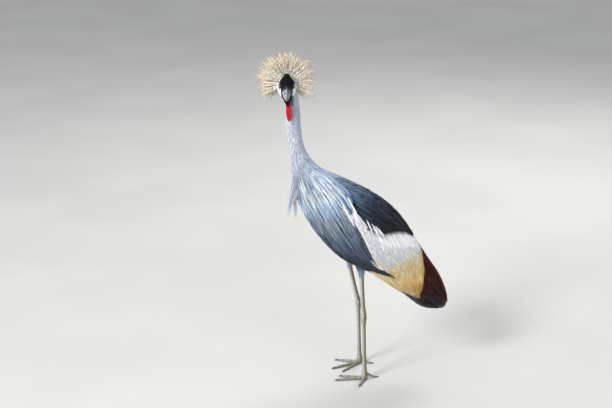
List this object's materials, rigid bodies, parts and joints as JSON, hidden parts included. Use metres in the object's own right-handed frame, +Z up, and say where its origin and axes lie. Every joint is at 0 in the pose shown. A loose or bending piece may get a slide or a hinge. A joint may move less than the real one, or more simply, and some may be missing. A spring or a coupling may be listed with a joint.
{
  "type": "grey crowned crane",
  "caption": "Life-size standing crowned crane: straw-gold crest, red throat wattle, grey plumes, dark mantle, white and gold wing panel, chestnut secondaries, long legs.",
  "frame": {"origin": "middle of the footprint box on the ground plane under the bird", "axes": "+Z up; the body heads -Y; the bird's left side is +X, where the turned head looks"},
  "size_m": [0.2302, 0.5992, 1.0376],
  "materials": {
    "velvet": "black velvety feathers, no gloss",
    "horn_grey": "grey horn, slight sheen",
    "eye": "wet, glossy pale grey iris with black pupil",
    "crest": "stiff straw-gold bristles",
    "wattle": "bare red skin, soft sheen",
    "neck_feathers": "pale pearl-grey hair-fine feathers",
    "body_plumes": "long narrow blue-grey plumes",
    "mantle_feathers": "dark slate feathers, faint sheen",
    "white_coverts": "soft white feathers",
    "gold_plumes": "hair-like straw-gold plumes",
    "chestnut_feathers": "long chestnut vaned feathers",
    "flight_black": "black vaned feathers",
    "leg_skin": "dark grey-olive scaled skin",
    "claw": "dark horn"
  },
  "bodies": {
    "root": {"bill_lower": "horn_grey", "bill_upper": "horn_grey", "breast": "body_plumes", "claw_hind_left": "claw", "claw_hind_right": "claw", "claw_inner_left": "claw", "claw_inner_right": "claw", "claw_middle_left": "claw", "claw_middle_right": "claw", "claw_outer_left": "claw", "claw_outer_right": "claw", "crest": "crest", "eye_left": "eye", "eye_right": "eye", "flank_left": "body_plumes", "flank_right": "body_plumes", "gold_plumes_left": "gold_plumes", "gold_plumes_right": "gold_plumes", "head": "velvet", "mantle": "mantle_feathers", "neck_fringe": "neck_feathers", "neck_lower": "neck_feathers", "neck_upper": "neck_feathers", "primaries_left": "flight_black", "primaries_right": "flight_black", "secondaries_left": "chestnut_feathers", "secondaries_right": "chestnut_feathers", "shin_left": "leg_skin", "shin_right": "leg_skin", "tail": "flight_black", "tarsus_left": "leg_skin", "tarsus_right": "leg_skin", "thigh_left": "body_plumes", "thigh_right": "body_plumes", "toe_hind_left": "leg_skin", "toe_hind_right": "leg_skin", "toe_inner_left": "leg_skin", "toe_inner_right": "leg_skin", "toe_middle_left": "leg_skin", "toe_middle_right": "leg_skin", "toe_outer_left": "leg_skin", "toe_outer_right": "leg_skin", "trunk": "body_plumes", "wattle": "wattle", "wing_left": "white_coverts", "wing_right": "white_coverts"}
  },
  "joints": []
}
